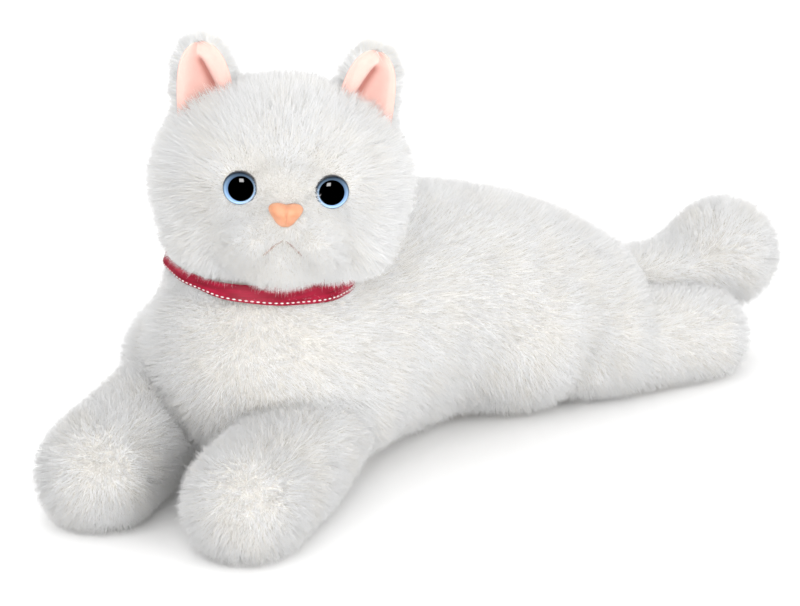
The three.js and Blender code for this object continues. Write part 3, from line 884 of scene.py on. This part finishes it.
def head_keep(roots, normals):
    """No hairs under the eyes, the nose or the mouth's thread, or inside the torso."""
    local = HEAD.into(roots)
    stays = outside(TORSO_FORM, deep=0.003)(roots, normals)
    front = local[:, 1] < -0.02
    for side in (-1, 1):
        stays &= ~(front & (np.hypot(local[:, 0] - side * EYE_X, local[:, 2] - EYE_Z) < 0.0066))
    stays &= ~(front & (np.hypot(local[:, 0] / 1.25, local[:, 2] - NOSE_Z) < 0.0046))
    for arm in mouth_lines():
        gap = np.hypot(local[:, 0, None] - arm[None, :, 0], local[:, 2, None] - arm[None, :, 2]).min(axis=1)
        stays &= ~(front & (gap < 0.0007))
    return stays


def build_head():
    skin = stuffed_skin("head_skin", HEAD_FORM, head_seams)
    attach(skin, "head")
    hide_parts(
        "head_left_panel", "head_right_panel", "crown_gusset", "muzzle_patch", "chin_panel",
        "head_stuffing")

    def muzzle_share(roots):
        """1 on the bridge and muzzle, 0 on the crown and cheeks."""
        local = HEAD.into(roots)
        away = np.linalg.norm((local - (0, -0.044, -0.006)) / (1.25, 1.3, 1.0), axis=1)
        return 1 - ease(away, 0.017, 0.030)

    def part(low, high, back):
        def keep(roots, normals):
            share = muzzle_share(roots)
            dice = np.random.default_rng(len(roots)).random(len(roots))
            behind = HEAD.into(roots)[:, 1] >= -0.012
            return (behind == back) & (share + 0.3 * dice > low) & (share + 0.3 * dice <= high) \
                & head_keep(roots, normals)
        return keep

    parts = {
        "head_fur_muzzle": (part(0.65, 9.0, False), 420000, 66, 0.08, 0.000085),
        "head_fur_face": (part(-1.0, 0.65, False), 170000, 62, 0.20, 0.00013),
        "head_fur_crown": (part(-1.0, 9.0, True), 120000, 64, 0.22, 0.00014),
    }
    for number, (name, (keep, count, lift, pull, radius)) in enumerate(parts.items()):
        piece = pile(
            name, skin, count, head_comb, head_length, 300 + number, lift=lift, keep=keep, pull=pull,
            radius=radius, cream_and_shade=head_cream_and_brow_shade)
        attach(piece, "head")


# ---- ears ----

EAR_HALF = 0.0128
EAR_ROOT = 0.008
EAR_TIP = 0.0238
EAR_CUP = 0.0050
EAR_THICK = 0.0034


def ear_half_width(z):
    """Half the ear's width at a height over its fold."""
    share = np.clip((z + EAR_ROOT) / (EAR_TIP + EAR_ROOT), 0, 1)
    return EAR_HALF * np.sqrt(np.maximum(1 - share ** 5, 0)) * (1 - 0.22 * share)


def ear_surface(u, v, offset):
    """A point of the cupped ear: u from -1 to 1 across, v from 0 to 1 up, offset towards its back."""
    z = -EAR_ROOT + (EAR_TIP + EAR_ROOT) * v
    half = ear_half_width(z)
    x = half * u
    y = EAR_CUP * (1 - u ** 2) * (1 - 0.45 * v) - 0.0025 + offset
    return np.stack([x, y, z], axis=-1)


def grid_faces(rows, columns, flip=False):
    faces = []
    for i in range(rows - 1):
        for j in range(columns - 1):
            a = i * columns + j
            quad = (a, a + 1, a + columns + 1, a + columns)
            faces.append(quad[::-1] if flip else quad)
    return faces


def band_faces(rings, count):
    """Quads between closed rings of points."""
    faces = []
    for i in range(rings - 1):
        for k in range(count):
            here, after = i * count + k, i * count + (k + 1) % count
            faces.append((here, after, after + count, here + count))
    return faces


def build_ear(name, side):
    placed = ear_placed(name)
    rows, columns = 22, 17
    v, u = np.meshgrid(np.linspace(0, 0.995, rows), np.linspace(-1, 1, columns), indexing="ij")
    swell_by = EAR_THICK / 2 * np.sqrt(np.maximum(1 - u ** 4, 0)) * np.sqrt(np.maximum(1 - v ** 6, 0))
    front = ear_surface(u, v, -swell_by).reshape(-1, 3)
    back = ear_surface(u, v, swell_by).reshape(-1, 3)
    mesh = bpy.data.meshes.new(f"{name}_skin")
    faces = grid_faces(rows, columns)
    count = len(front)
    faces += [tuple(i + count for i in face) for face in grid_faces(rows, columns, flip=True)]
    mesh.from_pydata(placed.out(np.vstack([front, back])).tolist(), [], faces)

    def close(bm):
        bmesh.ops.remove_doubles(bm, verts=bm.verts, dist=0.0001)
        bmesh.ops.holes_fill(bm, edges=[e for e in bm.edges if e.is_boundary])

    edit_mesh(mesh, close)
    skin = finish_skin(link_object(f"{name}_skin", mesh))
    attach(skin, name)
    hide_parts(f"{name}_back")

    def comb(roots, normals):
        local = placed.into(roots)
        out = np.stack([local[:, 0] * 55, np.full(len(local), 0.1), np.full(len(local), 0.8)], axis=1)
        return out @ placed.axes.T

    def keep(roots, normals):
        local = placed.into(roots)
        facing = normals @ placed.axes[:, 1]
        half = ear_half_width(local[:, 2])
        lining = (facing < 0) & (np.abs(local[:, 0]) < half * 0.95) & (local[:, 2] < EAR_TIP * 0.97)
        return ~lining & (HEAD_FORM.distance(roots) > -0.001)

    def shading(roots, normals):
        local, way = placed.into(roots), normals @ placed.axes
        rim = ease(np.abs(local[:, 0]) / ear_half_width(local[:, 2]).clip(0.001), 0.6, 0.9)
        rim = np.maximum(rim, ease(local[:, 2], EAR_TIP * 0.70, EAR_TIP * 0.95))
        way[:, 1] = way[:, 1] * (1 - rim) - 0.8 * rim
        return unit(way) @ placed.axes.T

    piece = pile(
        f"{name}_fur", skin, 34000, comb, even(EAR_PILE), 400 + side, lift=60, keep=keep, pull=0.16,
        radius=0.00012, shading=shading)
    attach(piece, name)
    build_lining(name, side, placed)


def fold_shaded_lining_material():
    made = material("ear_lining", (0.90, 0.62, 0.55), roughness=0.75, specular=0.2, Sheen_Weight=0.5)
    # fold is painted shade: it darkens the pink along the crease and in the hollow beside it.
    fold = add_node(made, "ShaderNodeAttribute", attribute_name="fold")
    place = add_node(made, "ShaderNodeTexCoord")
    noise = add_node(made, "ShaderNodeTexNoise", Scale=1500.0, Detail=3.0)
    link(made, place.outputs["Object"], noise.inputs["Vector"])
    blotch = add_node(made, "ShaderNodeTexNoise", Scale=160.0, Detail=2.0)
    link(made, place.outputs["Object"], blotch.inputs["Vector"])
    total = add_node(made, "ShaderNodeMath", operation="MULTIPLY_ADD")
    link(made, blotch.outputs["Fac"], total.inputs[0])
    total.inputs[1].default_value = 0.25
    link(made, fold.outputs["Fac"], total.inputs[2])
    # The ramp runs from the lining's pink to the painted shade of the fold; the blotches vary the tone at
    # random.
    ramp = add_node(made, "ShaderNodeValToRGB")
    ramp.color_ramp.elements[0].position = 0.10
    ramp.color_ramp.elements[0].color = (0.80, 0.51, 0.45, 1)
    ramp.color_ramp.elements[1].position = 1.0
    ramp.color_ramp.elements[1].color = (0.42, 0.17, 0.14, 1)
    link(made, total.outputs[0], ramp.inputs["Fac"])
    link(made, ramp.outputs["Color"], made.node_tree.nodes["Principled BSDF"].inputs["Base Color"])
    add_bump(made, noise.outputs["Fac"], 0.35, 0.0003)
    return made


FOLD_SHADED_LINING = fold_shaded_lining_material()


def build_lining(name, side, placed):
    """The pink lining: a rolled band on the side of the crown, a crease, and the hollow beside it."""
    rows, columns = 40, 41
    v, u = np.meshgrid(np.linspace(0.05, 0.999, rows), np.linspace(-0.97, 0.97, columns), indexing="ij")
    inwards = -side * u
    round_off = np.sqrt(1 - v ** 5) / np.sqrt(1 - (0.975 * v) ** 5)
    crease_u = -0.20 + 0.95 * np.maximum(0.86 - v, 0) ** 0.6
    beside = inwards - crease_u
    breadth = np.where(beside > 0, 0.06, 0.22)
    crease = np.exp(-(beside / breadth) ** 2) * ease(v, 0.30, 0.46) * (1 - ease(v, 0.72, 0.86))
    roll = np.exp(-((beside - 0.24) / 0.20) ** 2) * (1 - ease(v, 0.80, 0.97))
    rim = ease(np.abs(u), 0.66, 0.93) + ease(v, 0.80, 0.95)
    lift = -EAR_THICK / 2 * np.sqrt(np.maximum(1 - u ** 4, 0)) * np.sqrt(np.maximum(1 - v ** 6, 0)) - 0.0004
    lift += -0.0014 * (1 - crease) * (1 - np.minimum(rim, 1)) - 0.0010 * roll
    points = ear_surface(u * round_off, 0.975 * v, lift).reshape(-1, 3)
    mesh = bpy.data.meshes.new(f"{name}_pink_lining")
    mesh.from_pydata(placed.out(points).tolist(), [], grid_faces(rows, columns))
    # The fold attribute is painted shade: dark along the crease and, more faintly, in the hollow beside it.
    fold = mesh.attributes.new("fold", "FLOAT", "POINT")
    hollow = 0.30 * (1 - ease(np.abs(u), 0.3, 0.9)) * (beside < 0)
    fold.data.foreach_set("value", (0.80 * crease + hollow).astype(np.float32).ravel())
    mesh.materials.append(FOLD_SHADED_LINING)
    mesh.shade_smooth()
    piece = link_object(f"{name}_pink_lining", mesh)
    thicken(piece)
    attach(piece, name)
    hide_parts(f"{name}_lining")


# ---- face: eyes, nose and mouth ----

def eye_material(name, side):
    """Painted inside the dome; the pupil sits a little towards the nose and up. Painted shade and light darken
    the iris towards its top and lighten it towards its bottom.
    """
    made = material(
        f"{name}_painted", (0.01, 0.01, 0.01), roughness=0.04, specular=0.7)
    place = add_node(made, "ShaderNodeTexCoord")

    def ring(offset, stops):
        shift = add_node(made, "ShaderNodeVectorMath", operation="SUBTRACT")
        shift.inputs[1].default_value = offset
        flat = add_node(made, "ShaderNodeVectorMath", operation="MULTIPLY")
        flat.inputs[1].default_value = (100, 0, 100)
        size = add_node(made, "ShaderNodeVectorMath", operation="LENGTH")
        ramp = add_node(made, "ShaderNodeValToRGB")
        link(made, place.outputs["Object"], shift.inputs[0])
        link(made, shift.outputs[0], flat.inputs[0])
        link(made, flat.outputs[0], size.inputs[0])
        link(made, size.outputs["Value"], ramp.inputs["Fac"])
        elements = ramp.color_ramp.elements
        while len(elements) < len(stops):
            elements.new(0.5)
        for element, (position, colour) in zip(elements, stops):
            element.position = position
            element.color = (*colour, 1)
        return ramp.outputs["Color"]

    iris = ring((0, 0, 0), [
        (0.0, (0.22, 0.36, 0.60)),
        (0.50, (0.24, 0.40, 0.68)),
        (0.56, (0.40, 0.60, 0.86)),
        (0.60, (0.32, 0.48, 0.70)),
        (0.645, (0.05, 0.08, 0.13)),
    ])
    pupil = ring((-side * 0.0006, 0, 0.0003), [(0.0, (0, 0, 0)), (0.495, (0, 0, 0)), (0.515, (1, 1, 1))])
    # Painted shade and light: by height in the eye, the iris is darkened towards its top and lightened towards
    # its bottom.
    height = add_node(made, "ShaderNodeSeparateXYZ")
    link(made, place.outputs["Object"], height.inputs[0])
    shade = add_node(made, "ShaderNodeMapRange")
    shade.inputs["From Min"].default_value = -0.006
    shade.inputs["From Max"].default_value = 0.006
    shade.inputs["To Min"].default_value = 1.2
    shade.inputs["To Max"].default_value = 0.12
    link(made, height.outputs["Z"], shade.inputs["Value"])
    lit = add_node(made, "ShaderNodeMix", data_type="RGBA", blend_type="MULTIPLY")
    lit.inputs["Factor"].default_value = 1.0
    link(made, iris, lit.inputs["A"])
    link(made, shade.outputs["Result"], lit.inputs["B"])
    painted = add_node(made, "ShaderNodeMix", data_type="RGBA", blend_type="MULTIPLY")
    painted.inputs["Factor"].default_value = 1.0
    link(made, lit.outputs["Result"], painted.inputs["A"])
    link(made, pupil, painted.inputs["B"])
    link(made, painted.outputs["Result"], made.node_tree.nodes["Principled BSDF"].inputs["Base Color"])
    return made


def build_eye(name, side):
    """A domed safety eye: painted inside, polished outside, with a skirt that sits in the pile."""
    rings, segments = 14, 48
    points, faces = [(0, -EYE_DEPTH, 0)], []
    for i in range(1, rings + 1):
        turn = i / rings * math.pi / 2
        for k in range(segments):
            way = 2 * math.pi * k / segments
            radius = EYE_RADIUS * math.sin(turn)
            points.append((radius * math.cos(way), -EYE_DEPTH * math.cos(turn), radius * math.sin(way)))
    for radius, depth in ((EYE_RADIUS, 0.0012), (EYE_RADIUS * 0.8, 0.0016)):
        for k in range(segments):
            way = 2 * math.pi * k / segments
            points.append((radius * math.cos(way), depth, radius * math.sin(way)))
    points.append((0, 0.0016, 0))

    def at(ring, k):
        return 1 + (ring - 1) * segments + k % segments

    for k in range(segments):
        faces.append((0, at(1, k), at(1, k + 1)))
        for ring in range(1, rings + 2):
            faces.append((at(ring, k), at(ring + 1, k), at(ring + 1, k + 1), at(ring, k + 1)))
        faces.append((len(points) - 1, at(rings + 2, k + 1), at(rings + 2, k)))
    mesh = bpy.data.meshes.new(f"{name}_ball")
    mesh.from_pydata(points, [], faces)
    mesh.materials.append(eye_material(name, side))
    mesh.shade_smooth()
    eye = link_object(f"{name}_ball", mesh)
    turned = HEAD.matrix((side * EYE_X, EYE_Y, EYE_Z)) @ Matrix.Rotation(math.radians(side * 7), 4, "Z")
    eye.matrix_world = turned
    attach(eye, "head")
    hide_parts(f"{name}_dome", f"{name}_iris", f"{name}_pupil")


NOSE_OUTLINE = [
    (0.0, 0.0041), (0.0030, 0.0047), (0.0056, 0.0042), (0.0068, 0.0026), (0.0062, 0.0006),
    (0.0047, -0.0016), (0.0031, -0.0037), (0.0014, -0.0048), (0.0, -0.0050),
]


def nose_material():
    made = material(
        "nose_peach", (0.86, 0.42, 0.20), roughness=0.42, specular=0.45,
        Subsurface_Weight=0.15, Subsurface_Scale=0.002)
    grain = mottle(made, (0.70, 0.35, 0.21), (0.60, 0.27, 0.15), 260, detail=3.0)
    add_bump(made, grain, 0.12, 0.0004)
    return made


def build_nose():
    """A moulded button: two lobes over a narrow foot, with a groove down its middle."""
    right = smooth_line([(x, 0, z, 0) for x, z in NOSE_OUTLINE], 0.0007)[:, [0, 2]]
    outline = np.vstack([right, (right * (-1, 1))[-2:0:-1]])
    rings = 14
    points = []
    for i in range(rings):
        share = math.cos(i / (rings - 1) * math.pi / 2)
        bulge = (1 - share ** 2.4) ** 0.5
        for x, z in outline * max(share, 0.02):
            ledge = 0.70 + 0.30 * ease(np.array(z), -0.0050, 0.0020)
            groove = 0.0007 * math.exp(-(x / 0.00045) ** 2) * bulge
            nostril = 0.0006 * math.exp(-((abs(x) - 0.0031) ** 2 + (z + 0.0010) ** 2) / 0.0011 ** 2)
            depth = 0.0050 * bulge * float(ledge) - groove - nostril * bulge
            points.append((x, NOSE_BACK_Y - depth, z + NOSE_Z))
    count = len(outline)
    faces = band_faces(rings, count)
    faces.append(tuple((rings - 1) * count + k for k in range(count)))
    faces.append(tuple(range(count))[::-1])
    mesh = bpy.data.meshes.new("nose_button")
    mesh.from_pydata(HEAD.out(points).tolist(), [], faces)
    edit_mesh(mesh, lambda bm: None)
    mesh.materials.append(nose_material())
    mesh.shade_smooth()
    nose = link_object("nose_button", mesh)
    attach(nose, "head")
    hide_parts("nose")


def tube(name, line, radius, sides=8, twist=0.0, ridge=0.0):
    """A closed tube along a line; twist and ridge give it the strands of a thread."""
    line = np.asarray(line, float)
    ways = unit(np.gradient(line, axis=0))
    side = unit(np.cross(ways, np.array([0.2, 0.3, 1.0])))
    other = np.cross(side, ways)
    points = []
    for i, (middle, a, b) in enumerate(zip(line, side, other)):
        taper = math.sin(math.pi * min(1, (min(i, len(line) - 1 - i) + 0.6) / 4) / 2)
        for k in range(sides):
            turn = 2 * math.pi * k / sides
            bulge = 1 + ridge * math.cos(3 * turn + twist * i)
            points.append(middle + radius * taper * bulge * (a * math.cos(turn) + b * math.sin(turn)))
    faces = [face[::-1] for face in band_faces(len(line), sides)]
    faces.append(tuple(range(sides)))
    faces.append(tuple((len(line) - 1) * sides + k for k in range(sides))[::-1])
    mesh = bpy.data.meshes.new(name)
    mesh.from_pydata([tuple(p) for p in points], [], faces)
    mesh.shade_smooth()
    return mesh


def joined_tubes(name, tubes, paint):
    """One object from many short tubes."""
    joined = bmesh.new()
    for part in tubes:
        joined.from_mesh(part)
        bpy.data.meshes.remove(part)
    mesh = bpy.data.meshes.new(name)
    joined.to_mesh(mesh)
    joined.free()
    mesh.materials.append(paint)
    mesh.shade_smooth()
    return link_object(name, mesh)


def build_mouth(surface):
    """Embroidered thread laid on the muzzle's skin."""
    made = material("mouth_thread", (0.50, 0.36, 0.32), roughness=0.85, specular=0.2, Sheen_Weight=0.3)
    mottle(made, (0.44, 0.31, 0.27), (0.32, 0.21, 0.18), 1200)
    arms = []
    for arm in mouth_lines():
        fine = smooth_line([(*p, 0) for p in arm], 0.0003)[:, :3]
        laid = []
        for local in fine:
            start = Vector(HEAD.out((local[0], -0.08, local[2])))
            hit = surface.ray_cast(start, Vector(HEAD.axes[:, 1]))[0]
            into = HEAD.into(np.array(hit))
            into[1] -= 0.0009
            laid.append(HEAD.out(into))
        arms.append(tube("arm", laid, 0.00034, twist=0.9, ridge=0.16))
    piece = joined_tubes("mouth_stitch", arms, made)
    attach(piece, "head")
    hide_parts("mouth_thread")


# ---- neck and ribbon ----

RIBBON_WIDTH = 0.0105
RIBBON_RADIUS = 0.0398
RIBBON_LOW = 0.0970
RIBBON_NARROWING = 0.0030
NECK_BAND_RADIUS = 0.0325
STITCHES = 104
STITCH_SHARE = 0.62           # the part of each pitch that the thread covers
STITCH_HEIGHT = 0.13          # the share of the ribbon's width, from its lower edge
STITCH_LIFT = 0.00035
STITCH_RADIUS = 0.00036


def ribbon_lower_edge(turn):
    """The lower edge's height round the neck: it dips towards the cat's left and front."""
    front = np.cos(turn - math.radians(-50))
    right = np.cos(turn - math.radians(-140))
    return RIBBON_LOW - 0.0022 * front + 0.0050 * right


def ribbon_radius(turn, up):
    """The ribbon's distance from the neck's axis: with ripples, a flared lower edge and one side drawn in."""
    wave = 0.0007 * np.sin(5 * turn + 0.6) + 0.0004 * np.sin(11 * turn + 2.0)
    drawn_in = 0.0008 * (1 + np.cos(turn - math.radians(-150)))
    return RIBBON_RADIUS + wave * (1 - 0.5 * up) + 0.0010 * (1 - up) - drawn_in


def ribbon_points(turns, ups, lift=0.0):
    """Points of the band. It is made narrower where the head covers it; it is not folded."""
    turn, up = np.meshgrid(turns, ups, indexing="xy")
    radius = ribbon_radius(turn, up) + lift
    narrower = RIBBON_NARROWING * (1 + np.cos(turn - math.radians(-140)))
    height = ribbon_lower_edge(turn) + up * (RIBBON_WIDTH - narrower)
    return np.stack([
        NECK_TURN[0] + radius * np.cos(turn),
        NECK_TURN[1] + radius * np.sin(turn),
        height,
    ], axis=-1)


def satin_material():
    made = material(
        "ribbon_satin", (0.30, 0.001, 0.022), roughness=0.38, specular=0.5)
    mottle(made, (0.50, 0.003, 0.045), (0.22, 0.0008, 0.014), 90, stretch=(1, 1, 7), low=0.3, high=0.75)
    place = add_node(made, "ShaderNodeTexCoord")
    weave = add_node(made, "ShaderNodeTexWave", Scale=900.0, Distortion=1.0)
    weave.bands_direction = "Z"
    link(made, place.outputs["Object"], weave.inputs["Vector"])
    add_bump(made, weave.outputs["Fac"], 0.25, 0.0002)
    return made


def build_ribbon():
    turns = np.linspace(0, 2 * math.pi, 181)[:-1]
    ups = np.linspace(0, 1, 9)
    grid = ribbon_points(turns, ups)
    rows, columns = grid.shape[:2]
    faces = band_faces(rows, columns)
    mesh = bpy.data.meshes.new("ribbon_collar")
    mesh.from_pydata(grid.reshape(-1, 3).tolist(), [], faces)
    mesh.materials.append(satin_material())
    mesh.shade_smooth()
    ribbon = link_object("ribbon_collar", mesh)
    thicken(ribbon)
    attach(ribbon, "neck")
    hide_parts("collar_ribbon")
    stitches = build_stitches()


def build_stitches():
    """A pale saddle stitch along the ribbon's lower edge."""
    made = material("saddle_stitch", (0.90, 0.84, 0.82), roughness=0.6, specular=0.3)
    mottle(made, (0.93, 0.88, 0.86), (0.80, 0.70, 0.70), 1500)
    pitch = 2 * math.pi / STITCHES
    stitches = []
    for k in range(STITCHES):
        turns = pitch * k + np.linspace(0, pitch * STITCH_SHARE, 7)
        line = ribbon_points(turns, np.array([STITCH_HEIGHT]), STITCH_LIFT)[0]
        stitches.append(tube("stitch", line, STITCH_RADIUS, sides=6))
    piece = joined_tubes("ribbon_stitches", stitches, made)
    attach(piece, "neck")
    return piece


def build_neck():
    """The furry band that the ribbon lies on."""
    line = [(
        NECK_TURN[0] + NECK_BAND_RADIUS * math.cos(turn),
        NECK_TURN[1] + NECK_BAND_RADIUS * math.sin(turn),
        NECK_TURN[2] + 0.001, 0.0060,
    ) for turn in np.linspace(0, 2 * math.pi, 25)]
    form = Form().string(line, shrink=0)
    skin = stuffed_skin("neck_skin", form, lambda points: points[:, 2] > 0.1015)
    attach(skin, "neck")
    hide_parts("neck_panel", "neck_core", "neck_seam_tape")

    def keep(roots, normals):
        turn = np.arctan2(roots[:, 1] - NECK_TURN[1], roots[:, 0] - NECK_TURN[0])
        below_ribbon = roots[:, 2] < ribbon_lower_edge(turn) - 0.0005
        outward = ((roots - NECK_TURN)[:, :2] * normals[:, :2]).sum(axis=1) > 0
        return below_ribbon & outward & outside(HEAD_FORM)(roots, normals)

    piece = pile("neck_fur", skin, 26000, lambda roots, normals: np.tile(DOWN, (len(roots), 1)),
                 even(NECK_PILE), 501, lift=40, keep=keep)
    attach(piece, "neck")


# ---- hidden fittings ----

def finish_fittings():
    """The eye and nose fittings inside the head keep their CAD shape and get moulded plastic."""
    made = material("moulded_white", (0.85, 0.85, 0.84), roughness=0.5)
    grain = mottle(made, (0.88, 0.88, 0.87), (0.80, 0.80, 0.79), 400)
    add_bump(made, grain, 0.1, 0.0003)
    for name in ("eye_left_stem", "eye_right_stem", "eye_left_washer", "eye_right_washer", "nose_washer"):
        for held in frame["nodes"][name].material_slots:
            held.material = made


# ---- build ----

def surface_of(obj):
    mesh = obj.data
    corners = [vertex.co.copy() for vertex in mesh.vertices]
    return BVHTree.FromPolygons(corners, [tuple(face.vertices) for face in mesh.polygons])


make_camera()
make_studio()
build_torso()
for limb_name in LIMBS:
    build_limb(limb_name)
build_head()
build_neck()
build_ribbon()
build_ear("ear_left", 1)
build_ear("ear_right", -1)
build_eye("eye_left", 1)
build_eye("eye_right", -1)
build_nose()
build_mouth(surface_of(bpy.data.objects["head_skin"]))
finish_fittings()
